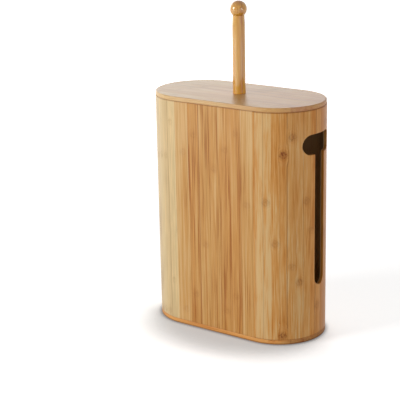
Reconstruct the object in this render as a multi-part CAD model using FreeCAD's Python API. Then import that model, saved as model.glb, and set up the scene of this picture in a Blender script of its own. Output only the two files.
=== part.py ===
import FreeCAD, Part
import math
import os

from FreeCAD import Vector

# A bamboo box for toilet rolls. It stands on the floor and is closed by a lid that lifts off.
# In plan it is a racetrack: two flat walls joined by two half-round ends.
# All sizes are in millimetres. The origin is the middle of the underside, +X runs along the
# flat walls towards the slotted end, -Y is the front and +Z is up.

# The box
box_width = 132.0
straight_length = 130.0
wall_thickness = 5.0
wall_height = 324.0
wall_edge_round = 0.5

# The two floor boards: the walls stand on the lower one and are glued round the upper one
base_thickness = 6.5
base_foot_round = 0.9
base_top_round = 0.4
inner_floor_thickness = 6.5
inner_floor_edge_round = 0.5
glue_gap = 0.1

# The loose tongues that join the flat walls to the bent ends
tongue_thickness = 1.6
tongue_width = 8.0
groove_gap = 0.05

# The T-shaped cut in the slotted end: a hand grip with a level slot below it
grip_width = 64.0
grip_height = 28.0
grip_top_above_base = 290.2
slot_width = 22.5
slot_length = 189.2
cut_corner_round = 1.2
cut_edge_round = 0.6

# The lid
lid_thickness = 6.5
lid_inset = 0.6
lid_top_round = 1.3
lid_bottom_round = 0.7
locating_thickness = 6.5
locating_clearance = 1.0
locating_edge_bevel = 1.2

# The post that holds a roll, and the ball on it
post_diameter = 18.0
post_length = 109.1
post_foot_round = 0.6
neck_diameter = 16.6
neck_taper_length = 14.0
neck_edge_round = 0.5
ball_diameter = 23.5
tenon_diameter = 9.0
tenon_length = 9.5
tenon_gap = 0.1

# Countersunk wood screws
board_screw_diameter = 3.0
board_screw_length = 10.0
board_screw_head = 5.8
post_screw_diameter = 4.0
post_screw_length = 36.0
post_screw_head = 7.8
screw_head_rim = 0.25
screw_sink = 0.4
screw_gap = 0.05
screw_core_share = 0.68
screw_pitch_share = 0.42
screw_tip_share = 1.0
cross_length_share = 0.6
cross_width_share = 0.16
cross_depth_share = 0.75

# Where the four screws of a pair of boards stand, as shares of its straight length and width
board_screw_place_shares = (0.42, 0.27)

# How far a cutting tool runs past the face that it cuts
overrun = 5.0

# Sizes that follow from those above
outer_radius = box_width / 2
inner_radius = outer_radius - wall_thickness
half_straight = straight_length / 2
inner_width = box_width - 2 * wall_thickness
wall_top = base_thickness + wall_height
lid_top = wall_top + lid_thickness
grip_radius = grip_height / 2
grip_centre = base_thickness + grip_top_above_base - grip_radius
groove_thickness = tongue_thickness + 2 * groove_gap
groove_depth = tongue_width / 2 + groove_gap
neck_radius = neck_diameter / 2
ball_radius = ball_diameter / 2
ball_centre_above_neck = math.sqrt(ball_radius ** 2 - neck_radius ** 2)


def save(node, shape):
    """Write one sub-part to its own file."""
    shape.exportStep("parts/" + node + ".step")


def upright(points, thickness):
    """A plate from an outline of edges, standing on its lower face."""
    return Part.Face(Part.Wire(points)).extrude(Vector(0, 0, thickness))


def racetrack_board(width, bottom, thickness):
    """A board with two straight sides and two half-round ends."""
    radius = width / 2
    front_left = Vector(-half_straight, -radius, bottom)
    front_right = Vector(half_straight, -radius, bottom)
    right_tip = Vector(half_straight + radius, 0, bottom)
    back_right = Vector(half_straight, radius, bottom)
    back_left = Vector(-half_straight, radius, bottom)
    left_tip = Vector(-half_straight - radius, 0, bottom)
    outline = [
        Part.LineSegment(front_left, front_right).toShape(),
        Part.Arc(front_right, right_tip, back_right).toShape(),
        Part.LineSegment(back_right, back_left).toShape(),
        Part.Arc(back_left, left_tip, front_left).toShape(),
    ]
    return upright(outline, thickness)


def edges_at(shape, height):
    """The edges of a shape that lie flat at one height."""
    tolerance = wall_edge_round / 100
    return [
        edge for edge in shape.Edges
        if all(abs(vertex.Z - height) < tolerance for vertex in edge.Vertexes)
    ]


def wood_screw(diameter, length, head_diameter):
    """A countersunk screw with its head down at height zero and its point up."""
    shank = diameter / 2
    core = shank * screw_core_share
    head = head_diameter / 2
    head_top = screw_head_rim + head - shank
    pitch = diameter * screw_pitch_share
    tip = diameter * screw_tip_share
    turns = int((length - head_top - tip) / pitch)
    profile = [Vector(0, 0, 0), Vector(head, 0, 0), Vector(head, 0, screw_head_rim)]
    profile.append(Vector(core, 0, head_top + shank - core))
    thread_start = length - tip - turns * pitch
    for turn in range(turns):
        foot = thread_start + turn * pitch
        if foot > head_top + shank - core:
            profile.append(Vector(core, 0, foot))
            profile.append(Vector(shank, 0, foot + pitch / 2))
    profile.append(Vector(core, 0, length - tip))
    profile.append(Vector(0, 0, length))
    profile.append(Vector(0, 0, 0))
    screw = Part.Face(Part.makePolygon(profile)).revolve(Vector(0, 0, 0), Vector(0, 0, 1), 360)
    arm = head_diameter * cross_length_share
    arm_width = head_diameter * cross_width_share
    depth = head_top * cross_depth_share
    for size_x, size_y in ((arm, arm_width), (arm_width, arm)):
        corner = Vector(-size_x / 2, -size_y / 2, 0)
        screw = screw.cut(Part.makeBox(size_x, size_y, depth, corner))
    return screw


def screw_hole(diameter, length, head_diameter):
    """The hole of a screw whose head is sunk into a face at height zero."""
    shank = diameter / 2 + screw_gap
    head = head_diameter / 2 + screw_gap
    rim_top = screw_sink + screw_head_rim
    bottom = screw_sink + length + screw_gap
    profile = [
        Vector(0, 0, -overrun),
        Vector(head, 0, -overrun),
        Vector(head, 0, rim_top),
        Vector(shank, 0, rim_top + head - shank),
        Vector(shank, 0, bottom),
        Vector(0, 0, bottom),
        Vector(0, 0, -overrun),
    ]
    return Part.Face(Part.makePolygon(profile)).revolve(Vector(0, 0, 0), Vector(0, 0, 1), 360)


def board_screw_places(face_height):
    """The four places of the screws that hold a small board to a large one."""
    x = straight_length * board_screw_place_shares[0]
    y = inner_width * board_screw_place_shares[1]
    return [Vector(side * x, end * y, face_height) for side in (-1, 1) for end in (-1, 1)]


def screws_at(places):
    """The four board screws as one group of separate solids."""
    screws = []
    for place in places:
        screw = wood_screw(board_screw_diameter, board_screw_length, board_screw_head)
        screw.translate(place + Vector(0, 0, screw_sink))
        screws.append(screw)
    return Part.makeCompound(screws)


def drilled(board, places):
    """A board with the holes of its four screws."""
    for place in places:
        hole = screw_hole(board_screw_diameter, board_screw_length, board_screw_head)
        hole.translate(place)
        board = board.cut(hole)
    return board


# The floor: the base board, the inner board on it and the screws between them
def make_floor():
    places = board_screw_places(0)
    base = racetrack_board(box_width, 0, base_thickness)
    base = base.makeFillet(base_foot_round, edges_at(base, 0))
    base = base.makeFillet(base_top_round, edges_at(base, base_thickness))
    save("base_board", drilled(base, places))

    inner_top = base_thickness + inner_floor_thickness
    inner = racetrack_board(inner_width - 2 * glue_gap, base_thickness, inner_floor_thickness)
    inner = inner.makeFillet(inner_floor_edge_round, edges_at(inner, inner_top))
    save("inner_floor_board", drilled(inner, places))
    save("base_screws", screws_at(places))


# The groove for a loose tongue, centred on a seam, and the tongue in it
def seam_strip(side, end, width, thickness):
    middle = end * (outer_radius - wall_thickness / 2)
    corner = Vector(side * half_straight - width / 2, middle - thickness / 2, base_thickness)
    return Part.makeBox(width, thickness, wall_height, corner)


def grooved(wall, side, end):
    """A wall with the groove of one seam."""
    return wall.cut(seam_strip(side, end, 2 * groove_depth, groove_thickness))


# The flat walls
def make_panel(node, end):
    inner_face = end * inner_radius
    front_face = min(inner_face, end * outer_radius)
    corner = Vector(-half_straight, front_face, base_thickness)
    panel = Part.makeBox(straight_length, wall_thickness, wall_height, corner)
    long_edges = [
        edge for edge in edges_at(panel, base_thickness) + edges_at(panel, wall_top)
        if edge.Length > wall_thickness
    ]
    panel = panel.makeFillet(wall_edge_round, long_edges)
    for side in (-1, 1):
        panel = grooved(panel, side, end)
    save(node, panel)


# The outline of the T-shaped cut, seen along X and pushed through the end of the box
def slotted_end_tool():
    start = half_straight
    grip_half = grip_width / 2 - grip_radius
    grip_bottom = grip_centre - grip_radius
    grip_top = grip_centre + grip_radius
    slot_half = slot_width / 2
    slot_arc_centre = grip_bottom - slot_length + slot_half
    corner = cut_corner_round
    corner_sag = corner - corner / math.sqrt(2)

    def at(y, z):
        return Vector(start, y, z)

    def line(first, last):
        return Part.LineSegment(first, last).toShape()

    def arc(first, middle, last):
        return Part.Arc(first, middle, last).toShape()

    outline = [
        line(at(-grip_half, grip_top), at(grip_half, grip_top)),
        arc(at(grip_half, grip_top), at(grip_width / 2, grip_centre), at(grip_half, grip_bottom)),
        line(at(grip_half, grip_bottom), at(slot_half + corner, grip_bottom)),
        arc(
            at(slot_half + corner, grip_bottom),
            at(slot_half + corner_sag, grip_bottom - corner_sag),
            at(slot_half, grip_bottom - corner),
        ),
        line(at(slot_half, grip_bottom - corner), at(slot_half, slot_arc_centre)),
        arc(
            at(slot_half, slot_arc_centre),
            at(0, slot_arc_centre - slot_half),
            at(-slot_half, slot_arc_centre),
        ),
        line(at(-slot_half, slot_arc_centre), at(-slot_half, grip_bottom - corner)),
        arc(
            at(-slot_half, grip_bottom - corner),
            at(-slot_half - corner_sag, grip_bottom - corner_sag),
            at(-slot_half - corner, grip_bottom),
        ),
        line(at(-slot_half - corner, grip_bottom), at(-grip_half, grip_bottom)),
        arc(at(-grip_half, grip_bottom), at(-grip_width / 2, grip_centre), at(-grip_half, grip_top)),
    ]
    face = Part.Face(Part.Wire(outline))
    return face.extrude(Vector(outer_radius + overrun, 0, 0))


def round_cut_edges(shell):
    """Ease the sharp edges that the cut leaves on the outer and inner face."""
    middle_radius = outer_radius - wall_thickness / 2
    axis_x = half_straight
    sharp = []
    for edge in shell.Edges:
        start, end = edge.ParameterRange
        middle = edge.valueAt((start + end) / 2)
        inside_grip = abs(middle.y) < grip_width / 2 + wall_thickness
        between = base_thickness + wall_thickness < middle.z < wall_top - wall_thickness
        if not (inside_grip and between):
            continue
        spans = [math.hypot(v.X - axis_x, v.Y) - middle_radius for v in edge.Vertexes]
        if spans and (all(span > 0 for span in spans) or all(span < 0 for span in spans)):
            sharp.append(edge)
    return shell.makeFillet(cut_edge_round, sharp)


# The bent ends
def bent_end(side):
    seam = side * half_straight
    outer_tip = Vector(seam + side * outer_radius, 0, base_thickness)
    inner_tip = Vector(seam + side * inner_radius, 0, base_thickness)
    outer_front = Vector(seam, -outer_radius, base_thickness)
    outer_back = Vector(seam, outer_radius, base_thickness)
    inner_front = Vector(seam, -inner_radius, base_thickness)
    inner_back = Vector(seam, inner_radius, base_thickness)
    outline = [
        Part.Arc(outer_front, outer_tip, outer_back).toShape(),
        Part.LineSegment(outer_back, inner_back).toShape(),
        Part.Arc(inner_back, inner_tip, inner_front).toShape(),
        Part.LineSegment(inner_front, outer_front).toShape(),
    ]
    shell = upright(outline, wall_height)
    bent_edges = [
        edge for edge in edges_at(shell, base_thickness) + edges_at(shell, wall_top)
        if edge.Length > wall_thickness + wall_edge_round
    ]
    return shell.makeFillet(wall_edge_round, bent_edges)


def make_ends():
    for node, side in (("plain_end_shell", -1), ("slotted_end_shell", 1)):
        shell = bent_end(side)
        if side == 1:
            shell = round_cut_edges(shell.cut(slotted_end_tool()))
        for end in (-1, 1):
            shell = grooved(shell, side, end)
        save(node, shell)


# The loose tongues, one in each upright seam
def make_tongues():
    for side, side_name in ((-1, "plain"), (1, "slotted")):
        for end, end_name in ((-1, "front"), (1, "back")):
            tongue = seam_strip(side, end, tongue_width, tongue_thickness)
            save(end_name + "_" + side_name + "_tongue", tongue)


# The lid: the lid board, the locating board under it and the screws between them
def make_lid_boards():
    locating_bottom = wall_top - locating_thickness
    places = board_screw_places(locating_bottom)
    post_hole = screw_hole(post_screw_diameter, post_screw_length, post_screw_head)
    post_hole.translate(Vector(0, 0, locating_bottom))

    lid = racetrack_board(box_width - 2 * lid_inset, wall_top, lid_thickness)
    lid = lid.makeFillet(lid_top_round, edges_at(lid, lid_top))
    lid = lid.makeFillet(lid_bottom_round, edges_at(lid, wall_top))
    save("lid_board", drilled(lid, places).cut(post_hole))

    locating_width = inner_width - 2 * locating_clearance
    locating = racetrack_board(locating_width, locating_bottom, locating_thickness)
    locating = locating.makeChamfer(locating_edge_bevel, edges_at(locating, locating_bottom))
    save("lid_locating_board", drilled(locating, places).cut(post_hole))
    save("lid_screws", screws_at(places))

    post_screw = wood_screw(post_screw_diameter, post_screw_length, post_screw_head)
    post_screw.translate(Vector(0, 0, locating_bottom + screw_sink))
    save("post_screw", post_screw)
    return post_hole


# The turned post, narrowing towards its tenon, and the ball on it
def make_post(post_hole):
    radius = post_diameter / 2
    taper_start = post_length - neck_taper_length
    profile = [
        Vector(0, 0, 0),
        Vector(radius, 0, 0),
        Vector(radius, 0, taper_start),
        Vector(neck_radius, 0, post_length),
        Vector(0, 0, post_length),
        Vector(0, 0, 0),
    ]
    post = Part.Face(Part.makePolygon(profile)).revolve(Vector(0, 0, 0), Vector(0, 0, 1), 360)
    post = post.makeFillet(post_foot_round, edges_at(post, 0))
    post = post.makeFillet(neck_edge_round, edges_at(post, post_length))
    tenon = Part.makeCylinder(tenon_diameter / 2, tenon_length, Vector(0, 0, post_length))
    post = post.fuse(tenon).removeSplitter()
    post.translate(Vector(0, 0, lid_top))
    save("roll_post", post.cut(post_hole))

    neck_top = lid_top + post_length
    centre = Vector(0, 0, neck_top + ball_centre_above_neck)
    ball = Part.makeSphere(ball_radius, centre)
    below = Part.makeBox(
        ball_diameter, ball_diameter, ball_diameter,
        Vector(-ball_radius, -ball_radius, neck_top - ball_diameter),
    )
    socket_radius = tenon_diameter / 2 + tenon_gap
    socket_depth = tenon_length + tenon_gap
    socket = Part.makeCylinder(socket_radius, socket_depth, Vector(0, 0, neck_top))
    save("ball_knob", ball.cut(below).cut(socket))


def main():
    os.makedirs("parts", exist_ok=True)
    make_floor()
    make_panel("front_panel", -1)
    make_panel("back_panel", 1)
    make_ends()
    make_tongues()
    post_hole = make_lid_boards()
    make_post(post_hole)


main()
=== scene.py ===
# %% [markdown]
# # A bamboo toilet paper storage box
#
# The object is an upright box of thin bamboo board. In plan it is a racetrack: two flat walls joined
# by two half-round ends. A lid with a turned post lifts off, and one end has a T-shaped cut, which is
# a hand grip with an upright slot below it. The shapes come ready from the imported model, so this
# lesson is about what makes plain shapes look like lacquered bamboo: strips, fibres, knots, end
# grain, soft light, and a sweep of white paper to stand on.

import bpy
import bmesh
import math
from mathutils import Matrix, Vector


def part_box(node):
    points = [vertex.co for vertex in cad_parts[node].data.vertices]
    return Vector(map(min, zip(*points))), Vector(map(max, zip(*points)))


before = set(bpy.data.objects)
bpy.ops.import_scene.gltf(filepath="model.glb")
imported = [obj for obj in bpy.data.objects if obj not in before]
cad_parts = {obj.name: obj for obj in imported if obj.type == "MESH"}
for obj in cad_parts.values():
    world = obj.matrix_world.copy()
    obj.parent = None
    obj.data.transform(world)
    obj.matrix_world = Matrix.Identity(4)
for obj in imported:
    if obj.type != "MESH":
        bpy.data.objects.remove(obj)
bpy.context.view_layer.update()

# %% [markdown]
# ## Sizes to hang the looks on
#
# Bamboo board is made of strips, and the strips follow the shape of each piece. On a flat wall they
# stand side by side along X, and on a bent end they stand side by side round the bend. The patterns
# therefore need half the straight length, the radius of the ends and the heights of the joints.
# These could be typed in, but they are read from the pieces, so that the patterns always fit.

# %% Read the sizes from the pieces
wall_low, wall_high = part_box("front_panel")
half_straight = wall_high.x
wall_foot = wall_low.z
wall_top = wall_high.z
outer_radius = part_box("base_board")[1].y
lid_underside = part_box("lid_board")[0].z
bend_length = math.pi * outer_radius
print(f"straight {2 * half_straight:.3f} m, radius {outer_radius:.3f} m, bend {bend_length:.3f} m")

# %% [markdown]
# ## The camera
#
# The box was looked at from a little above, with its slotted end turned to the right. A pinhole
# camera is fully described by where it stands, what it looks at, how far it leans and how long its
# lens is. It could be turned by eye, but building its three axes from numbers is safer, because the
# same numbers always give the same picture. The azimuth is 0 straight in front of the box and grows
# towards the slotted end.

# %% Stand the camera in front
camera_azimuth = math.radians(35.955)
camera_elevation = math.radians(16.645)
camera_roll = math.radians(-1.213)
camera_distance = 1.766184
aim_height = 0.182236
aim_sideways = -0.058172
lens_in_pixels = 1232.028
picture_width = 400
sensor_width = 36.0

to_camera = Vector((
    math.sin(camera_azimuth) * math.cos(camera_elevation),
    -math.cos(camera_azimuth) * math.cos(camera_elevation),
    math.sin(camera_elevation),
))
level_right = Vector((math.cos(camera_azimuth), math.sin(camera_azimuth), 0))
level_up = to_camera.cross(level_right)
right = math.cos(camera_roll) * level_right + math.sin(camera_roll) * level_up
up = -math.sin(camera_roll) * level_right + math.cos(camera_roll) * level_up
aim = Vector((0, 0, aim_height)) + aim_sideways * level_right

camera = bpy.data.objects.new("camera", bpy.data.cameras.new("camera"))
camera.data.sensor_width = sensor_width
camera.data.lens = lens_in_pixels * sensor_width / picture_width
camera.matrix_world = Matrix.Translation(aim + camera_distance * to_camera) @ Matrix((
    (right.x, up.x, to_camera.x, 0),
    (right.y, up.y, to_camera.y, 0),
    (right.z, up.z, to_camera.z, 0),
    (0, 0, 0, 1),
))
bpy.context.scene.collection.objects.link(camera)
bpy.context.scene.camera = camera
bpy.context.scene.view_settings.view_transform = "Standard"
print("camera at", [round(c, 3) for c in camera.matrix_world.translation], "lens", camera.data.lens)

# %% [markdown]
# ## Small helpers for shader nodes
#
# A material is a network of nodes. Made by hand in the editor it is a drawing, and hard to change in
# many places at once. In code it stays readable when each node is one line. These helpers add a
# node, feed it with numbers or with what comes out of other nodes, and hand back its result.

# %% Helpers that add one node each
def feed(tree, sockets, values):
    """Give sockets their values. A number or colour is set, and another socket is linked."""
    for key, value in values.items():
        if isinstance(value, bpy.types.NodeSocket):
            tree.links.new(value, sockets[key])
        else:
            sockets[key].default_value = value


def put(tree, kind, inputs=None, **settings):
    """Add a node, change its settings, and feed its inputs."""
    made = tree.nodes.new(kind)
    for name, value in settings.items():
        setattr(made, name, value)
    feed(tree, made.inputs, inputs or {})
    return made


def calc(tree, operation, *values, clamp=False):
    """One step of arithmetic on numbers or sockets."""
    inputs = dict(enumerate(values))
    return put(tree, "ShaderNodeMath", inputs, operation=operation, use_clamp=clamp).outputs[0]


def ease(tree, value, start, end, low=0.0, high=1.0):
    """A soft step: low before start, high after end, and smooth between them."""
    inputs = {"Value": value, "From Min": start, "From Max": end, "To Min": low, "To Max": high}
    return put(tree, "ShaderNodeMapRange", inputs, interpolation_type="SMOOTHSTEP").outputs["Result"]


def vector(tree, x, y, z):
    """Three numbers or sockets as one vector."""
    return put(tree, "ShaderNodeCombineXYZ", {"X": x, "Y": y, "Z": z}).outputs["Vector"]


# %% Helpers for chance
def noise(tree, place, scale, detail, roughness):
    """Soft cloudy noise between about 0 and 1."""
    inputs = {"Vector": place, "Scale": scale, "Detail": detail, "Roughness": roughness}
    return put(tree, "ShaderNodeTexNoise", inputs).outputs["Fac"]


def chance(tree, number):
    """A random number from 0 to 1 that stays the same for the same input."""
    inputs = {"W": number}
    return put(tree, "ShaderNodeTexWhiteNoise", inputs, noise_dimensions="1D").outputs["Value"]


# %% Helpers for colour
# A Mix node has sockets for numbers, vectors and colours at once, told apart by their numbers.
mix_factor = 0
mix_first_colour = 6
mix_second_colour = 7
mixed_colour = 2


def tint(tree, factor, first, second, mode="MIX"):
    """Mix two colours."""
    inputs = {mix_factor: factor, mix_first_colour: first, mix_second_colour: second}
    return put(tree, "ShaderNodeMix", inputs, data_type="RGBA", blend_type=mode).outputs[mixed_colour]


def colour(red, green, blue):
    """A screen colour, 0 to 255, as the linear colour that nodes work with."""
    linear = []
    for level in (red, green, blue):
        share = level / 255
        linear.append(share / 12.92 if share <= 0.04045 else ((share + 0.055) / 1.055) ** 2.4)
    return (*linear, 1.0)


# %% Helpers for node groups
def new_group(name, numbers, results, colours=(), colour_results=()):
    """Start a node group with named sockets. Gives the group, what comes in and what goes out."""
    tree = bpy.data.node_groups.new(name, "ShaderNodeTree")
    for names, direction, kind in (
        (numbers, "INPUT", "NodeSocketFloat"), (colours, "INPUT", "NodeSocketColor"),
        (colour_results, "OUTPUT", "NodeSocketColor"), (results, "OUTPUT", "NodeSocketFloat"),
    ):
        for socket_name in names:
            tree.interface.new_socket(socket_name, in_out=direction, socket_type=kind)
    inner = tree.nodes.new("NodeGroupInput").outputs
    outer = tree.nodes.new("NodeGroupOutput").inputs
    return tree, inner, outer


def use_group(tree, group, inputs):
    """Place a node group in a tree and feed it. Gives its outputs."""
    return put(tree, "ShaderNodeGroup", inputs, node_tree=group).outputs


# %% [markdown]
# ## Strips
#
# Bamboo board is glued up from strips. Each strip comes from another stalk, so it has its own tone,
# and the glue between two strips is a thin darker line, bold in one place and hardly seen in another.
# One could paint each strip by hand, but a group that only needs to know how far across the board a
# point lies can do it for every piece. The distance is divided by the width of a strip: the whole
# part says which strip it is, and the rest says where in the strip the point lies. The seed decides
# which tones follow each other, so another seed is another board.

# %% Node group: strips
glue_line_half_width = 0.0011
edge_wander = 0.004
wander_scale = 55.0
numbers_between_seeds = 41.0
boldness_power = 2.0

strips, inner, outer = new_group(
    "strips",
    numbers=["Across", "Strip Width", "Offset", "Seed"],
    results=["Tone", "Warmth", "Shift", "Beside", "Glue Line"],
)
drift_place = vector(strips, inner["Across"], inner["Seed"], 0.0)
drift = noise(strips, drift_place, wander_scale, 0.0, 0.5)
drift = calc(strips, "MULTIPLY", calc(strips, "SUBTRACT", drift, 0.5), edge_wander)
place = calc(strips, "ADD", calc(strips, "SUBTRACT", inner["Across"], inner["Offset"]), drift)
place = calc(strips, "DIVIDE", place, inner["Strip Width"])
number = calc(strips, "FLOOR", place)
seeded = calc(strips, "MULTIPLY_ADD", inner["Seed"], numbers_between_seeds, number)
beside = calc(strips, "SUBTRACT", calc(strips, "SUBTRACT", place, number), 0.5)
to_edge = calc(strips, "SUBTRACT", 0.5, calc(strips, "ABSOLUTE", beside))
to_edge = calc(strips, "MULTIPLY", to_edge, inner["Strip Width"])
line = ease(strips, to_edge, 0.0, glue_line_half_width, 1.0, 0.0)
nearest_edge = calc(strips, "ADD", calc(strips, "ROUND", place), inner["Seed"])
boldness = calc(strips, "POWER", chance(strips, nearest_edge), boldness_power)
# A strip needs three random numbers, so its number is moved on a little for the second and third.
feed(strips, outer, {
    "Tone": chance(strips, seeded),
    "Warmth": chance(strips, calc(strips, "ADD", seeded, 0.37)),
    "Shift": chance(strips, calc(strips, "ADD", seeded, 0.71)),
    "Beside": beside,
    "Glue Line": calc(strips, "MULTIPLY", line, boldness),
})
print("group strips:", len(strips.nodes), "nodes")

# %% [markdown]
# ## Fibres
#
# Inside a strip run the fibres, always along the stalk. They show as broad soft clouds and bands, as
# fine streaks and, seen end on, as dark dots. A picture of bamboo could be wrapped round each piece,
# but its seams would have to be hidden. Noise that is squeezed across the fibres and stretched along
# them has no seams. It is three-dimensional too, so a face that is cut across the strips shows the
# dots by itself, just as the real end grain does.

# %% Node group: fibres
fibre_patterns = {
    # name: scale across and along the fibres, detail, roughness, start and end of the soft step
    "Clouds": (60.0, 20.0, 2.0, 0.5, 0.30, 0.70),
    "Bands": (240.0, 7.0, 2.0, 0.55, 0.30, 0.70),
    "Ruddy": (190.0, 9.0, 2.0, 0.6, 0.35, 0.70),
    "Streaks": (640.0, 20.0, 3.0, 0.65, 0.30, 0.70),
}
bundles_across = 1500.0
bundles_along = 22.0
shift_of_strips = 3.1

fibres, inner, outer = new_group(
    "fibres",
    numbers=["Across", "Depth", "Along", "Shift", "Shortness"],
    results=[*fibre_patterns, "Bundles"],
)
shifted = calc(fibres, "MULTIPLY_ADD", inner["Shift"], shift_of_strips, inner["Along"])
shifted = calc(fibres, "MULTIPLY", shifted, inner["Shortness"])


def stretched(across_scale, along_scale):
    """A place for noise that is squeezed across the fibres and stretched along them."""
    across = calc(fibres, "MULTIPLY", inner["Across"], across_scale)
    depth = calc(fibres, "MULTIPLY", inner["Depth"], across_scale)
    return vector(fibres, across, depth, calc(fibres, "MULTIPLY", shifted, along_scale))


for name, (across_scale, along_scale, detail, roughness, start, end) in fibre_patterns.items():
    pattern = noise(fibres, stretched(across_scale, along_scale), 1.0, detail, roughness)
    feed(fibres, outer, {name: ease(fibres, pattern, start, end)})
bundle_cells = put(
    fibres, "ShaderNodeTexVoronoi",
    {"Vector": stretched(bundles_across, bundles_along), "Scale": 1.0, "Randomness": 1.0},
    feature="F1",
).outputs["Distance"]
feed(fibres, outer, {"Bundles": ease(fibres, bundle_cells, 0.15, 0.42, 1.0, 0.0)})
print("group fibres:", len(fibres.nodes), "nodes")

# %% [markdown]
# ## Knots
#
# A bamboo stalk is divided by rings. Where a strip crosses such a ring, it has a soft oval stain with
# a spotted eye in it, and above and below the eye the fibres bend round it in faint arcs. Drawn with
# clean curves a knot looks like a printed sign, so the distances are first shaken by noise. One knot
# is a group that takes the distances from its middle, so it can be repeated in a pattern or set down
# at a chosen place.

# %% Node group: one knot
eye_height = 0.0072
eye_share = 0.50
arc_reach = 0.020
arc_spacing = 0.0044
arc_bow = 0.010
shake_scale = 300.0
shake_length = 0.005
spot_scale = 420.0

knot, inner, outer = new_group(
    "knot",
    numbers=["Beside", "Above", "Width", "Strength"],
    results=["Dark", "Pale", "Pull"],
)
# The strength is part of the place, so that a bold knot and a faint one are shaken differently.
own_place = calc(knot, "MULTIPLY", inner["Strength"], 0.05)
own_place = vector(knot, inner["Beside"], inner["Above"], own_place)
shake = calc(knot, "SUBTRACT", noise(knot, own_place, shake_scale, 2.0, 0.6), 0.5)
height = calc(knot, "ABSOLUTE", calc(knot, "MULTIPLY_ADD", shake, shake_length, inner["Above"]))
aside = calc(knot, "ABSOLUTE", calc(knot, "DIVIDE", inner["Beside"], inner["Width"]))
oval = calc(
    knot, "ADD",
    calc(knot, "POWER", calc(knot, "DIVIDE", aside, eye_share), 2.0),
    calc(knot, "POWER", calc(knot, "DIVIDE", height, eye_height), 2.0),
)
oval = calc(knot, "SQRT", oval)
# The oval is 1 on the rim of the knot. The stain reaches past the rim, and the eye stays inside it.
stain = ease(knot, oval, 0.55, 1.25, 1.0, 0.0)
eye = ease(knot, oval, 0.35, 0.95, 1.0, 0.0)
half_above = calc(knot, "MULTIPLY", inner["Above"], 0.5)
spot_place = vector(knot, inner["Beside"], half_above, inner["Strength"])
spots = ease(knot, noise(knot, spot_place, spot_scale, 1.0, 0.5), 0.44, 0.60)
arcs = calc(knot, "MULTIPLY_ADD", aside, arc_bow, height)
arcs = calc(knot, "COSINE", calc(knot, "MULTIPLY", arcs, 2 * math.pi / arc_spacing))
arcs_fade = ease(knot, height, 0.004, arc_reach, 1.0, 0.0)
arcs = calc(knot, "MULTIPLY", ease(knot, arcs, -0.2, 1.0), arcs_fade)

# %% What a knot adds up to
stain_strength = 0.28
eye_strength = 0.14
spot_strength = 0.6
arc_strength = 0.12
knot_full_to = 0.42
knot_ends_at = 0.56

dark = calc(knot, "MULTIPLY", eye, calc(knot, "MULTIPLY_ADD", spots, spot_strength, eye_strength))
dark = calc(knot, "MULTIPLY_ADD", stain, stain_strength, dark)
dark = calc(knot, "MULTIPLY_ADD", arcs, arc_strength, dark)
from_pale_ring = calc(knot, "ABSOLUTE", calc(knot, "SUBTRACT", height, 1.7 * eye_height))
pale = ease(knot, from_pale_ring, 0.0, eye_height, 1.0, 0.0)
on_strip = ease(knot, aside, knot_full_to, knot_ends_at, 1.0, 0.0)
strength = calc(knot, "MULTIPLY", on_strip, inner["Strength"])
near_ring = ease(knot, height, 0.0, arc_reach, 1.0, 0.0)
pull = calc(knot, "MULTIPLY", near_ring, strength)
feed(knot, outer, {
    "Dark": calc(knot, "MULTIPLY", dark, strength),
    "Pale": calc(knot, "MULTIPLY", pale, strength),
    "Pull": calc(knot, "MULTIPLY", pull, inner["Beside"]),
})
print("group knot:", len(knot.nodes), "nodes")

# %% [markdown]
# ## Worn and eased edges
#
# Sandpaper and lacquer leave the edges of a board a little darker and shinier than its faces. One
# could mark the edges by hand. The Bevel node finds them on any shape: it gives the normal as if the
# edge were rounder, and where that differs from the real normal, there is an edge.

# %% Node group: edges
edges, inner, outer = new_group("edges", numbers=["Reach"], results=["Edge"])
rounder = put(edges, "ShaderNodeBevel", {"Radius": inner["Reach"]}, samples=4).outputs["Normal"]
real = put(edges, "ShaderNodeNewGeometry").outputs["Normal"]
same = put(
    edges, "ShaderNodeVectorMath", {0: rounder, 1: real}, operation="DOT_PRODUCT"
).outputs["Value"]
different = calc(edges, "SUBTRACT", 1.0, same)
feed(edges, outer, {"Edge": ease(edges, different, 0.005, 0.12)})
print("group edges:", len(edges.nodes), "nodes")

# %% [markdown]
# ## Bamboo
#
# Strips, fibres and edges come together in one group, which every bamboo material uses with its own
# values, and the knots come in as masks. Writing all that out again in each material would be long,
# and a change would have to be made in each. The colour starts from three tones of one bamboo. The
# tone of the strip, the clouds, bands and streaks choose between them. Bundles, knots, glue lines, end
# grain, worn edges, raw insides and the dark lines at the joints are then laid over that, one after the
# other. The dark lines at the joints are painted shade, and the raw insides are painted paler than raw
# bamboo, which is painted light.

# %% Node group: bamboo
edge_reach = 0.0011
# The raw inside colour is raw unlacquered bamboo, painted paler than it is, which is painted light.
raw_bamboo_painted_paler = colour(232, 206, 162)
strength_of = {
    "bundles": 0.16, "pale ring": 0.08, "knot": 0.9, "glue line": 0.7,
    "worn edge": 0.30, "raw inside, painted paler": 0.7, "joint shade": 0.5,
}

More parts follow.
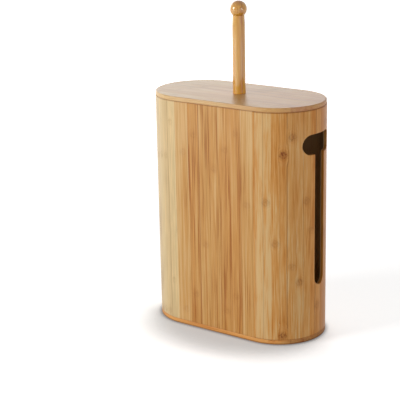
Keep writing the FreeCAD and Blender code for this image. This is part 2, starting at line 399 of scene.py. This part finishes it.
bamboo, inner, outer = new_group(
    "bamboo",
    numbers=["Across", "Depth", "Along", "Strip Width", "Offset", "Seed", "Shortness",
             "Strip Contrast", "Band Contrast", "Streak Contrast", "Cloud Contrast", "Knot Dark",
             "Knot Pale", "End Grain", "Raw", "Joint Shade", "Lift", "Wear", "Sheen Roughness"],
    colours=["Dark", "Middle", "Light", "Warm", "Cut"],
    colour_results=["Color"],
    results=["Roughness", "Height"],
)
strip = use_group(bamboo, strips, {
    "Across": inner["Across"], "Strip Width": inner["Strip Width"], "Offset": inner["Offset"],
    "Seed": inner["Seed"],
})
fibre = use_group(bamboo, fibres, {
    "Across": inner["Across"], "Depth": inner["Depth"], "Along": inner["Along"],
    "Shift": strip["Shift"], "Shortness": inner["Shortness"],
})
edge = use_group(bamboo, edges, {"Reach": edge_reach})["Edge"]
edge = calc(bamboo, "MULTIPLY", edge, inner["Wear"])

# %% From patterns to a tone
level = inner["Lift"]
for pattern, contrast in (
    (strip["Tone"], inner["Strip Contrast"]), (fibre["Clouds"], inner["Cloud Contrast"]),
    (fibre["Bands"], inner["Band Contrast"]), (fibre["Streaks"], inner["Streak Contrast"]),
):
    swing = calc(bamboo, "SUBTRACT", pattern, 0.5)
    level = calc(bamboo, "MULTIPLY_ADD", swing, contrast, level)
under = tint(bamboo, ease(bamboo, level, 0.0, 0.5), inner["Dark"], inner["Middle"])
plain = tint(bamboo, ease(bamboo, level, 0.5, 1.0), under, inner["Light"])
warmth = calc(bamboo, "MULTIPLY", ease(bamboo, strip["Warmth"], 0.2, 1.0), 0.5)
warmth = calc(bamboo, "MULTIPLY_ADD", fibre["Ruddy"], 0.5, warmth)
wood = tint(bamboo, warmth, plain, tint(bamboo, 1.0, plain, inner["Warm"], "MULTIPLY"))


# %% What is laid over the tone
def lay(paint, mask, what, under_it):
    """Lay a colour over the wood where the mask is, as strongly as the table of strengths says."""
    share = calc(bamboo, "MULTIPLY", mask, strength_of[what], clamp=True)
    return tint(bamboo, share, under_it, paint)


wood = lay(inner["Dark"], fibre["Bundles"], "bundles", wood)
wood = lay(inner["Light"], inner["Knot Pale"], "pale ring", wood)
wood = lay(inner["Cut"], inner["Knot Dark"], "knot", wood)
wood = lay(inner["Cut"], strip["Glue Line"], "glue line", wood)

# End grain is browner than a face, with dark dots where the bundles of fibres are cut.
band = calc(bamboo, "MULTIPLY", calc(bamboo, "SUBTRACT", fibre["Bands"], 0.5), inner["Band Contrast"])
brown = calc(bamboo, "MULTIPLY_ADD", fibre["Bundles"], 0.45, 0.42)
brown = calc(bamboo, "MULTIPLY_ADD", band, 0.8, brown)
wood = tint(bamboo, inner["End Grain"], wood, tint(bamboo, brown, plain, inner["Cut"]))

wood = lay(inner["Dark"], edge, "worn edge", wood)
# Painted light: the raw inside is made paler than raw bamboo.
wood = lay(raw_bamboo_painted_paler, inner["Raw"], "raw inside, painted paler", wood)
# Painted shade: dark lines where boards meet each other or the floor.
wood = lay(inner["Cut"], inner["Joint Shade"], "joint shade", wood)

# %% Sheen and relief
sheen = inner["Sheen Roughness"]
for mask, rougher in (
    (fibre["Streaks"], 0.08), (inner["End Grain"], 0.18), (inner["Raw"], 0.22), (edge, -0.05),
):
    sheen = calc(bamboo, "MULTIPLY_ADD", mask, rougher, sheen)
relief = calc(bamboo, "MULTIPLY", fibre["Streaks"], 0.35)
for mask, higher in ((fibre["Bundles"], -0.35), (strip["Glue Line"], -0.8), (inner["Knot Dark"], 0.12)):
    relief = calc(bamboo, "MULTIPLY_ADD", mask, higher, relief)
feed(bamboo, outer, {"Color": wood, "Roughness": sheen, "Height": relief})
print("group bamboo:", len(bamboo.nodes), "nodes")

# %% [markdown]
# ## From a place on a piece to a place in the bamboo
#
# The bamboo group asks three things of a point: how far across the strips it lies, how deep in the
# board, and how far along the fibres. Unwrapped surfaces could answer that, but simple arithmetic on
# the place does it without seams. On a flat wall the answers are X, Y and Z. On a bent end the strips
# follow the bend, so the way across is the length of the arc, which is the angle round the axis of
# the bend times its radius. On the lid and the floor boards the fibres lie along X. The post and the
# ball are turned from one glued block, so their strips run straight through them.

# %% Where a point lies in the bamboo
block_angle = math.radians(35.955)


def object_place(tree):
    """Where a point is on the piece, in metres: X, Y and Z as separate sockets."""
    place = put(tree, "ShaderNodeTexCoord").outputs["Object"]
    parts = put(tree, "ShaderNodeSeparateXYZ", {"Vector": place}).outputs
    return parts["X"], parts["Y"], parts["Z"]


def flat_wall_place(tree):
    """Strips that stand side by side along X."""
    return object_place(tree)


def bent_end_place(tree):
    """Strips that stand side by side round the bend of an end."""
    x, y, z = object_place(tree)
    outward = calc(tree, "SUBTRACT", calc(tree, "ABSOLUTE", x), half_straight)
    arc = calc(tree, "MULTIPLY", calc(tree, "ARCTAN2", y, outward), outer_radius)
    squares = calc(tree, "ADD", calc(tree, "POWER", outward, 2.0), calc(tree, "POWER", y, 2.0))
    return arc, calc(tree, "SQRT", squares), z


def level_board_place(tree):
    """Strips that lie side by side along Y, with their fibres along X."""
    x, y, z = object_place(tree)
    return y, z, x


def turned_place(tree):
    """Upright strips of the glued block, turned round the post by the block's angle."""
    x, y, z = object_place(tree)
    c, s = math.cos(block_angle), math.sin(block_angle)
    across = calc(tree, "ADD", calc(tree, "MULTIPLY", x, c), calc(tree, "MULTIPLY", y, s))
    depth = calc(tree, "SUBTRACT", calc(tree, "MULTIPLY", y, c), calc(tree, "MULTIPLY", x, s))
    return across, depth, z


# %% [markdown]
# ## Where the knots are
#
# The rings of a stalk are some 20 to 26 cm apart, so each strip of a wall has one or two knots, each
# at its own height. They could all be set down one by one, but on most pieces a pattern of rings is
# enough, shifted on each strip by the strip's own random number. On the slotted end the eye rests on
# a few knots, and these are set down at chosen places.

# %% Knots in a pattern
ring_spacing = 0.235
ring_shuffle = 7.0
widest_knot = 0.0145


def knots_in_a_pattern(tree, across, along, strip_width, offset, seed, strength):
    """One knot per ring on every strip, weaker on a pale strip than on a dark one."""
    strip = use_group(tree, strips, {
        "Across": across, "Strip Width": strip_width, "Offset": offset, "Seed": seed,
    })
    rings = calc(tree, "DIVIDE", along, ring_spacing)
    rings = calc(tree, "MULTIPLY_ADD", strip["Shift"], ring_shuffle, rings)
    above = calc(tree, "SUBTRACT", calc(tree, "FRACT", rings), 0.5)
    return use_group(tree, knot, {
        "Beside": calc(tree, "MULTIPLY", strip["Beside"], strip_width),
        "Above": calc(tree, "MULTIPLY", above, ring_spacing),
        "Width": min(strip_width, widest_knot),
        "Strength": calc(tree, "MULTIPLY_ADD", strip["Tone"], -0.5 * strength, strength),
    })


# %% Knots set down one by one
knot_width = 0.0150
half_wide = knot_ends_at * knot_width
half_tall = 1.1 * arc_reach
no_knot = (0.0, 1.0, 0.0)  # far above the box, and with no strength
mix_first_vector = 4
mix_second_vector = 5
mixed_vector = 1


def knots_set_down(tree, across, along, places):
    """Single knots at chosen places: across, along and strength of each.

    Each point looks for the one knot that it is near to, so the knot itself is drawn only once."""
    squeezed_across = calc(tree, "DIVIDE", across, half_wide)
    squeezed_along = calc(tree, "DIVIDE", along, half_tall)
    squeezed = vector(tree, squeezed_across, squeezed_along, 0.0)
    found = no_knot
    for knot_across, knot_along, strength in places:
        middle = (knot_across / half_wide, knot_along / half_tall, 0.0)
        distance = put(
            tree, "ShaderNodeVectorMath", {0: squeezed, 1: middle}, operation="DISTANCE"
        ).outputs["Value"]
        found = put(tree, "ShaderNodeMix", {
            mix_factor: calc(tree, "LESS_THAN", distance, 1.0),
            mix_first_vector: found,
            mix_second_vector: (knot_across, knot_along, strength),
        }, data_type="VECTOR").outputs[mixed_vector]
    parts = put(tree, "ShaderNodeSeparateXYZ", {"Vector": found}).outputs
    return use_group(tree, knot, {
        "Beside": calc(tree, "SUBTRACT", across, parts["X"]),
        "Above": calc(tree, "SUBTRACT", along, parts["Y"]),
        "Width": knot_width, "Strength": parts["Z"],
    })


# %% [markdown]
# ## Cut ends, raw insides, painted joint shade and seams
#
# A face that is cut across the fibres shows end grain, the inside of a wall has no lacquer, and a
# thin dark line of painted shade runs where a wall meets a board or a board meets the floor. The raw
# inside is also painted paler than raw bamboo, which is painted light. All of that could be drawn into
# images. It is safer to work it out: the way a face looks tells the end grain, the depth in the wall
# tells the inside, and the height tells where the lines of painted shade go. At the upright seams the
# wall was sanded flush after it was glued, so no worn edge shows there.

# %% Masks that tell these places apart
lacquer_fades_over = 0.0008
# Painted shade: the width of the dark lines at the joints.
joint_shade_half_width = 0.0005
joint_shade_ends_at = 0.0016
wear_starts_at = 0.0018


def facing(tree, axis):
    """How much a face looks along an axis, to either side: 0 not at all, 1 straight."""
    normal = put(tree, "ShaderNodeNewGeometry").outputs["True Normal"]
    parts = put(tree, "ShaderNodeSeparateXYZ", {"Vector": normal}).outputs
    return calc(tree, "ABSOLUTE", parts[axis])


def end_grain_mask(tree, axis, strength):
    """Where the fibres are cut across. They run along the axis, so such faces look along it."""
    return ease(tree, facing(tree, axis), 0.35, 0.95, 0.0, strength)


def raw_mask(tree, depth, raw_within):
    """Where a wall is raw: nearer to the middle of the box than raw_within."""
    lacquered_from = raw_within + lacquer_fades_over
    return ease(tree, calc(tree, "ABSOLUTE", depth), raw_within, lacquered_from, 1.0, 0.0)


def painted_joint_shade(tree, shade_line_heights, strength):
    """Painted shade: thin dark level lines on upright faces, where one board stands on another or on
    the floor.
    """
    x, y, z = object_place(tree)
    shade_lines = 0.0
    for shade_line_height in shade_line_heights:
        away = calc(tree, "ABSOLUTE", calc(tree, "SUBTRACT", z, shade_line_height))
        line = ease(tree, away, joint_shade_half_width, joint_shade_ends_at, strength, 0.0)
        shade_lines = calc(tree, "MAXIMUM", shade_lines, line)
    upright = ease(tree, facing(tree, "Z"), 0.5, 0.9, 1.0, 0.0)
    return calc(tree, "MULTIPLY", shade_lines, upright)


def wear_mask(tree, flush_seams):
    """Where an edge may look worn: everywhere, or everywhere but at the upright seams."""
    if not flush_seams:
        return 1.0
    x, y, z = object_place(tree)
    from_seam = calc(tree, "SUBTRACT", calc(tree, "ABSOLUTE", x), half_straight)
    return ease(tree, calc(tree, "ABSOLUTE", from_seam), edge_reach, wear_starts_at)


# %% [markdown]
# ## A bamboo material
#
# The same bamboo is used all over the box, but each piece was cut and finished in its own way. Each
# material could be a long network of its own. One function that makes the material of any piece is
# shorter, and it shows at a glance in what two pieces differ. A piece has five colours: three tones of
# its bamboo, a warm tint that is multiplied with them, and the brown of cuts and glue. Clear satin
# lacquer is the gloss of the Principled shader, with its plain values set on the shader itself.

# %% Make one bamboo material
relief_depth = 0.00006
fibres_part_at_knots = -0.45
usual_lift = 0.5


def bamboo_material(
    name, placing, tones, strip_width, offset, seed, strip_contrast, band_contrast,
    streak_contrast=0.25, cloud_contrast=0.25, shortness=1.0, knot_strength=0.0, knot_places=(),
    end_axis="Z", end_strength=1.0, raw_within=-1.0, joints=(), joint_shade_strength=1.0, painted_light_and_shade=(),
    flush_seams=False, roughness=0.34, specular=0.3, coat=0.0, coat_roughness=0.2, coat_ior=1.5,
):
    """The material of one kind of piece, with lengths in metres.

    Each fade is painted light or shade: it makes the bamboo paler or darker from one place to another,
    across or along it."""
    material = bpy.data.materials.new(name)
    material.use_nodes = True
    tree = material.node_tree
    tree.nodes.clear()
    across, depth, along = placing(tree)
    if knot_places:
        knots = knots_set_down(tree, across, along, knot_places)
    else:
        knots = knots_in_a_pattern(tree, across, along, strip_width, offset, seed, knot_strength)
    ways = {"across": across, "along": along}
    # The fades paint light and shade into the tone: each makes the level higher or lower from one place
    # to another.
    lift_and_painted_light = usual_lift
    for way, start, end, lift_at_start, lift_at_end in painted_light_and_shade:
        change = ease(tree, ways[way], start, end, lift_at_start, lift_at_end)
        lift_and_painted_light = calc(tree, "ADD", lift_and_painted_light, change)
    look = use_group(tree, bamboo, {
        "Across": calc(tree, "MULTIPLY_ADD", knots["Pull"], fibres_part_at_knots, across),
        "Depth": depth, "Along": along, "Strip Width": strip_width, "Offset": offset, "Seed": seed,
        "Shortness": shortness, "Strip Contrast": strip_contrast, "Band Contrast": band_contrast,
        "Streak Contrast": streak_contrast, "Cloud Contrast": cloud_contrast,
        "Knot Dark": knots["Dark"], "Knot Pale": knots["Pale"],
        "End Grain": end_grain_mask(tree, end_axis, end_strength),
        "Raw": raw_mask(tree, depth, raw_within),
        "Joint Shade": painted_joint_shade(tree, joints, joint_shade_strength),
        "Wear": wear_mask(tree, flush_seams),
        "Lift": lift_and_painted_light, "Sheen Roughness": roughness, **tones,
    })
    relief = put(tree, "ShaderNodeBump", {
        "Height": look["Height"], "Distance": relief_depth, "Strength": 1.0,
    }).outputs["Normal"]
    shader = put(tree, "ShaderNodeBsdfPrincipled", {
        "Base Color": look["Color"], "Roughness": look["Roughness"], "Normal": relief, "IOR": 1.5,
        "Specular IOR Level": specular, "Coat Weight": coat, "Coat Roughness": coat_roughness,
        "Coat IOR": coat_ior,
    })
    put(tree, "ShaderNodeOutputMaterial", {"Surface": shader.outputs["BSDF"]})
    print("material", name, "with", len(tree.nodes), "nodes")
    return material


# %% [markdown]
# ## The flat walls
#
# The front and the back are glued from upright strips as wide as a thumb. Their tones differ a good
# deal, and fine streaks run all the way up. The strips could be listed one by one with their tones.
# Here the seed picks them, and it was chosen from many, so that the pale and dark strips of the front
# follow each other as they do on the real box. Below its top the wall is painted a little darker,
# which is painted shade. Its outside is lacquered and its inside is raw, and painted paler, which is
# painted light.

# %% Bamboo of the flat walls
panel_strip = 0.0178
lacquered_depth = 0.0045
raw_inside = outer_radius - lacquered_depth
# Heights of the painted shade lines at the foot and at the top of the walls.
wall_joint_shade_heights = (wall_foot, wall_top)

flat_wall_bamboo = bamboo_material(
    "bamboo of the flat walls", flat_wall_place,
    {
        "Dark": colour(164, 102, 40), "Middle": colour(203, 153, 87), "Light": colour(217, 179, 124),
        "Warm": (1.0, 0.88, 0.74, 1.0), "Cut": colour(132, 64, 18),
    },
    panel_strip, offset=-0.0786, seed=11498.3125, shortness=0.5,
    strip_contrast=0.7, band_contrast=0.5, streak_contrast=0.6, cloud_contrast=0.2,
    # Painted shade: the dark lines at the joints, and the fade that darkens the wall below its top.
    knot_strength=0.3, end_strength=0.5, raw_within=raw_inside, joints=wall_joint_shade_heights,
    joint_shade_strength=0.4, painted_light_and_shade=[("along", 0.24, 0.31, -0.12, 0.0)], flush_seams=True,
)

# %% [markdown]
# ## The slotted end
#
# This end is bent from narrower strips, and it is the face that is looked at most. Its knots sit
# where they do on the real box: a bold one beside the hand grip, others along the slot and near the
# foot. Each is written as a way round the bend from the front seam, a height and a strength, which is
# simpler than to search for a pattern that happens to fit. Near the foot the bamboo is painted paler,
# which is painted light. Towards the middle of the bend it is painted darker, which is painted shade,
# and behind that it is paler again.

# %% Knots of the slotted end
front_seam = -bend_length / 2
knots_of_slotted_end = [
    (front_seam + arc, height, strength)
    for arc, height, strength in (
        (0.0428, 0.2728, 1.0), (0.0552, 0.2968, 0.6), (0.0188, 0.2060, 0.4), (0.0770, 0.2060, 0.4),
        (0.0845, 0.1630, 0.3), (0.0547, 0.1145, 0.3), (0.0661, 0.0907, 0.5), (0.0421, 0.0290, 0.3),
        (0.0416, 0.0126, 0.9), (0.0320, 0.1480, 0.4), (0.0980, 0.0500, 0.4), (0.1440, 0.2400, 0.8),
        (0.1330, 0.0700, 0.6), (0.1550, 0.1400, 0.6), (0.1668, 0.2700, 0.7), (0.1782, 0.1050, 0.6),
        (0.1896, 0.2200, 0.8), (0.2005, 0.0400, 0.6), (0.1210, 0.1500, 0.4), (0.1210, 0.3080, 0.5),
    )
]
print("knots set down:", len(knots_of_slotted_end))

# %% Bamboo of the slotted end
end_strip = 0.0114
slotted_end_bamboo = bamboo_material(
    "bamboo of the slotted end", bent_end_place,
    {
        "Dark": colour(186, 120, 48), "Middle": colour(208, 152, 85), "Light": colour(218, 182, 128),
        "Warm": (1.0, 0.90, 0.76, 1.0), "Cut": colour(116, 52, 6),
    },
    end_strip, offset=front_seam + 0.0033, seed=2810.15625,
    strip_contrast=0.76, band_contrast=0.32, streak_contrast=0.60, cloud_contrast=0.25,
    knot_places=knots_of_slotted_end, end_strength=0.5, raw_within=raw_inside, joints=wall_joint_shade_heights,
    # Painted light near the foot, painted shade towards the middle of the bend, and paler again behind
    # it.
    painted_light_and_shade=[
        ("along", 0.10, 0.22, 0.12, 0.0),
        ("across", front_seam + 0.078, front_seam + 0.102, 0.0, -0.36),
        ("across", front_seam + 0.124, front_seam + 0.150, 0.0, 0.36),
    ],
    flush_seams=True, specular=0.22,
)

# %% [markdown]
# ## The plain end
#
# The end without a cut is bent from strips of the same width. From the front only a narrow rim of it
# shows, paler and greyer than the other walls, partly in its own tone and partly as painted light:
# its tones are painted paler and greyer than those of the slotted end. It could share the material of
# the slotted end, but then that rim would be too warm. So it has its own tones and its own seed, and
# its knots follow the pattern of rings.

# %% Bamboo of the plain end
plain_end_bamboo_painted_light = bamboo_material(
    "bamboo of the plain end, with painted light", bent_end_place,
    {
        # Painted light: these tones are paler and greyer than those of the slotted end, partly its own
        # tone.
        "Dark": colour(176, 146, 102), "Middle": colour(208, 182, 134), "Light": colour(227, 199, 147),
        "Warm": (1.0, 0.96, 0.92, 1.0), "Cut": colour(150, 100, 50),
    },
    end_strip, offset=0.002, seed=2179.625,
    strip_contrast=0.7, band_contrast=0.25, streak_contrast=0.35, cloud_contrast=0.25,
    knot_strength=0.45, end_strength=0.6, raw_within=raw_inside, joints=wall_joint_shade_heights,
    joint_shade_strength=0.25, flush_seams=True,
)

# %% [markdown]
# ## The level boards
#
# The lid, its locating board and the two floor boards lie flat, so their strips lie along the box and
# their ends are cut across. The lid has more gloss than the walls. It is painted paler at the plain
# end and darker at the slotted end, which is painted light and shade. The edge of the base board is
# warmer. It is painted darker at the slotted end, which is painted shade, and a dark line of painted
# shade runs where it meets the floor. One material for all four boards would be less work, but on the
# real box the lid and the base differ in tone.

# %% Bamboo of the lid and the floor boards
board_strip = 0.0165
# Painted shade: height of the dark line where the base board meets the floor.
foot_shade_line_height = 0.0009
calm_board = {
    "offset": 0.004, "strip_contrast": 0.25, "band_contrast": 0.3, "streak_contrast": 0.3,
    "cloud_contrast": 0.2, "knot_strength": 0.3, "end_axis": "X",
}
tones_of_boards = {
    "Dark": colour(176, 114, 52), "Middle": colour(200, 153, 90), "Light": colour(213, 178, 120),
    "Warm": (1.0, 0.92, 0.82, 1.0), "Cut": colour(132, 64, 12),
}
lid_bamboo = bamboo_material(
    "bamboo of the lid", level_board_place, tones_of_boards, board_strip, seed=2.0,
    # Painted shade under the lid, and painted light and shade from the plain end to the slotted end.
    joints=(lid_underside,), joint_shade_strength=0.7, end_strength=0.5, specular=0.6,
    painted_light_and_shade=[("along", -0.12, 0.12, 0.32, -0.22)], **calm_board,
)
floor_board_bamboo = bamboo_material(
    "bamboo of the floor boards", level_board_place,
    {
        "Dark": colour(176, 104, 42), "Middle": colour(224, 162, 90), "Light": colour(230, 184, 116),
        "Warm": (1.0, 0.90, 0.80, 1.0), "Cut": colour(66, 14, 0),
    },
    # Painted shade: the dark line at the foot, and a darker band at the slotted end.
    board_strip, seed=5.0, joints=(foot_shade_line_height,),
    painted_light_and_shade=[("along", 0.108, 0.126, 0.0, -0.22)], **calm_board,
)

# %% [markdown]
# ## The post, the ball and the tongues
#
# The post and the ball are turned on a lathe from a block of thin glued strips. They are yellower than
# the boards and thickly lacquered. The bamboo itself could be made glossier, but then it would lose
# its soft sheen. A clear coat over it keeps that and adds the small sharp lights on the ball. The four
# tongues hide in the seams of the walls. They are thin slips of raw bamboo, so they only need a fine
# grain.

# %% Bamboo of the turned pieces and the tongues
block_strip = 0.0062
tongue_strip = 0.0016

turned_bamboo = bamboo_material(
    "turned bamboo", turned_place,
    {
        "Dark": colour(190, 114, 26), "Middle": colour(212, 156, 58), "Light": colour(222, 176, 84),
        "Warm": (1.0, 0.84, 0.58, 1.0), "Cut": colour(166, 90, 18),
    },
    block_strip, offset=0.0042, seed=6.0,
    strip_contrast=0.25, band_contrast=0.4, streak_contrast=0.4,
    specular=0.1, coat=1.0, coat_roughness=0.06, coat_ior=1.62,
)
tongue_bamboo = bamboo_material(
    "bamboo of the tongues", flat_wall_place, tones_of_boards, tongue_strip, offset=0.0008, seed=1.0,
    strip_contrast=0.3, band_contrast=0.3, roughness=0.55,
)

# %% [markdown]
# ## Zinc-plated steel
#
# The screws are only seen from below. Bright zinc is a metal with a faint mottled bloom. A plain grey
# metal would do from afar, but noise in the colour, in the roughness and in the relief costs little
# and holds up close.

# %% The steel of the screws
bloom_scale = 900.0
scratch_scale = 4200.0
scratch_depth = 0.00002
dull_zinc = colour(186, 188, 190)
bright_zinc = colour(222, 223, 222)

zinc = bpy.data.materials.new("zinc-plated steel")
zinc.use_nodes = True
steel = zinc.node_tree
steel.nodes.clear()
steel_place = put(steel, "ShaderNodeTexCoord").outputs["Object"]
bloom = noise(steel, steel_place, bloom_scale, 3.0, 0.6)
scratches = noise(steel, steel_place, scratch_scale, 2.0, 0.5)
steel_relief = put(steel, "ShaderNodeBump", {"Height": scratches, "Distance": scratch_depth})
steel_shader = put(steel, "ShaderNodeBsdfPrincipled", {
    "Base Color": tint(steel, ease(steel, bloom, 0.3, 0.7), dull_zinc, bright_zinc),
    "Roughness": ease(steel, bloom, 0.2, 0.8, 0.26, 0.44),
    "Metallic": 1.0, "Normal": steel_relief.outputs["Normal"],
})
put(steel, "ShaderNodeOutputMaterial", {"Surface": steel_shader.outputs["BSDF"]})
print("material", zinc.name, "with", len(steel.nodes), "nodes")

# %% [markdown]
# ## Dress the pieces
#
# Every piece of the box is made of one material, so each gets just one. That could be done piece by
# piece in the editor, but a table shows all at once which pieces are alike. The pieces that it does
# not name are the four tongues.

# %% Give each piece its material
finishes = {
    "front_panel": flat_wall_bamboo, "back_panel": flat_wall_bamboo,
    "slotted_end_shell": slotted_end_bamboo, "plain_end_shell": plain_end_bamboo_painted_light,
    "base_board": floor_board_bamboo, "inner_floor_board": floor_board_bamboo,
    "lid_board": lid_bamboo, "lid_locating_board": lid_bamboo,
    "roll_post": turned_bamboo, "ball_knob": turned_bamboo,
    "base_screws": zinc, "lid_screws": zinc, "post_screw": zinc,
}
for node_name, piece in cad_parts.items():
    piece.data.materials.clear()
    piece.data.materials.append(finishes.get(node_name, tongue_bamboo))
    for face in piece.data.polygons:
        face.material_index = 0
print("dressed", len(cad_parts), "pieces")

# %% [markdown]
# ## The studio
#
# The picture is a product shot on a white sweep. A floor that is only lit would come out grey. This
# one adds a plain white glow for the camera and for reflections, and what its lit part adds on top
# grows weaker in the shadow of the box. The glow is weaker near the box, so that the shadow shows.
# Close to the box, the shadow of soft light from behind is painted on: the Ambient Occlusion node
# finds those places and darkens the glow and the paper's colour there, and its rays lean back, so the
# painted shadow falls in front. For all other light the floor is a pale grey sheet, so the glow puts
# no light on the object.

# %% The floor
floor_reach = 6.0
gap_under_box = 0.0002

floor_mesh = bpy.data.meshes.new("floor")
floor_build = bmesh.new()
bmesh.ops.create_grid(floor_build, x_segments=1, y_segments=1, size=floor_reach)
bmesh.ops.translate(floor_build, verts=floor_build.verts, vec=(0, 0, -gap_under_box))
floor_build.to_mesh(floor_mesh)
floor_build.free()
floor = bpy.data.objects.new("floor", floor_mesh)
bpy.context.scene.collection.objects.link(floor)
print(f"floor {2 * floor_reach:.0f} m wide")


# %% White paper and its painted shadow
def directly_seen(tree):
    """One for rays of the camera, of reflections and through glass, and zero for all other light."""
    ray = put(tree, "ShaderNodeLightPath").outputs
    seen = calc(tree, "MAXIMUM", ray["Is Camera Ray"], ray["Is Glossy Ray"])
    return calc(tree, "MAXIMUM", seen, ray["Is Transmission Ray"])


paper = bpy.data.materials.new("white paper")
paper.use_nodes = True
sweep = paper.node_tree
sweep.nodes.clear()
leaning_back = vector(sweep, -0.12, 0.70, 0.70)
wide_reach = {"Distance": 0.12, "Normal": leaning_back}
close_reach = {"Distance": 0.009}
open_sky = put(sweep, "ShaderNodeAmbientOcclusion", wide_reach, samples=16).outputs["AO"]
open_gap = put(sweep, "ShaderNodeAmbientOcclusion", close_reach, samples=8).outputs["AO"]
# Painted shadow: the two Ambient Occlusion results darken the paper near the box.
painted_wide_shadow = ease(sweep, open_sky, 0.45, 0.85, 0.47, 1.0)
painted_contact_shadow = ease(sweep, open_gap, 0.45, 0.95, 0.5, 1.0)
painted_shadow = calc(sweep, "MULTIPLY", painted_wide_shadow, painted_contact_shadow)

# %% How the paper glows and is lit
weak_glow = 0.64
weak_up_to = 0.35
full_from = 1.3
paper_white = 0.92
pale_grey = (0.7, 0.7, 0.7, 1)

sweep_place = put(sweep, "ShaderNodeTexCoord").outputs["Object"]
away = put(sweep, "ShaderNodeVectorMath", {0: sweep_place}, operation="LENGTH").outputs["Value"]
glow_strength = ease(sweep, away, weak_up_to, full_from, weak_glow, 1.0)
# The painted shadow dims the glow and the lit colour of the paper.
glow_strength = calc(sweep, "MULTIPLY", glow_strength, painted_shadow)
glow = put(sweep, "ShaderNodeEmission", {"Strength": glow_strength}).outputs[0]
lit_colour = calc(sweep, "MULTIPLY", painted_shadow, paper_white)
lit = put(sweep, "ShaderNodeBsdfDiffuse", {"Color": lit_colour}).outputs[0]
both = put(sweep, "ShaderNodeAddShader", {0: glow, 1: lit}).outputs[0]
sheet = put(sweep, "ShaderNodeBsdfDiffuse", {"Color": pale_grey}).outputs[0]
paper_mix = put(sweep, "ShaderNodeMixShader", {0: directly_seen(sweep), 1: sheet, 2: both}).outputs[0]
put(sweep, "ShaderNodeOutputMaterial", {"Surface": paper_mix})
floor_mesh.materials.append(paper)
print("material", paper.name, "with", len(sweep.nodes), "nodes")

# %% [markdown]
# ## The light
#
# The box stands in a white room, which fills the shadows. Most of its light comes from a large soft
# window at the left, a little above the box. A pale wall at the right lights the slotted end, and a
# bright card behind lights the plain end and the back. A small window at the right gives the ball its
# second bright spot. A picture of a real room could do all that too, but four plain lamps can each be
# moved and dimmed alone. They are set so that the front wall renders about as its colours are written.

# %% The white room
white_light = (1, 1, 1, 1)
room_light = 0.15

world = bpy.data.worlds.new("white room")
bpy.context.scene.world = world
world.use_nodes = True
air = world.node_tree
air.nodes.clear()
room = put(air, "ShaderNodeBackground", {"Color": white_light, "Strength": room_light}).outputs[0]
white = put(air, "ShaderNodeBackground", {"Color": white_light, "Strength": 1.0}).outputs[0]
air_mix = put(air, "ShaderNodeMixShader", {0: directly_seen(air), 1: room, 2: white}).outputs[0]
put(air, "ShaderNodeOutputWorld", {"Surface": air_mix})
print("room with light", room_light)

# %% The lamps
lamps = {
    # name: azimuth and elevation in degrees, as for the camera, then distance, width and height in
    # metres, and strength
    "window at the left": (-35.5, 16.0, 2.6, 1.0, 1.2, 0.69),
    "pale wall at the right": (62.0, 5.0, 3.0, 3.0, 1.2, 0.08),
    "bright card behind": (243.0, 15.0, 2.4, 3.6, 1.6, 0.40),
    "small window at the right": (81.0, 12.0, 2.6, 0.6, 0.6, 0.29),
}
lit_point = Vector((0, 0, 0.2))


def soft_lamp(name, azimuth, elevation, distance, width, height, strength):
    """An area lamp that looks at the lit point. Strength is how bright it makes white paper there."""
    lamp = bpy.data.lights.new(name, "AREA")
    lamp.shape = "RECTANGLE"
    lamp.size = width
    lamp.size_y = height
    lamp.energy = strength * (math.pi * distance) ** 2
    made = bpy.data.objects.new(name, lamp)
    azimuth, elevation = math.radians(azimuth), math.radians(elevation)
    outward = Vector((
        math.sin(azimuth) * math.cos(elevation),
        -math.cos(azimuth) * math.cos(elevation),
        math.sin(elevation),
    ))
    made.location = lit_point + distance * outward
    made.rotation_euler = outward.to_track_quat("Z", "Y").to_euler()
    bpy.context.scene.collection.objects.link(made)


for name, numbers in lamps.items():
    soft_lamp(name, *numbers)
print("lamps:", ", ".join(lamps))
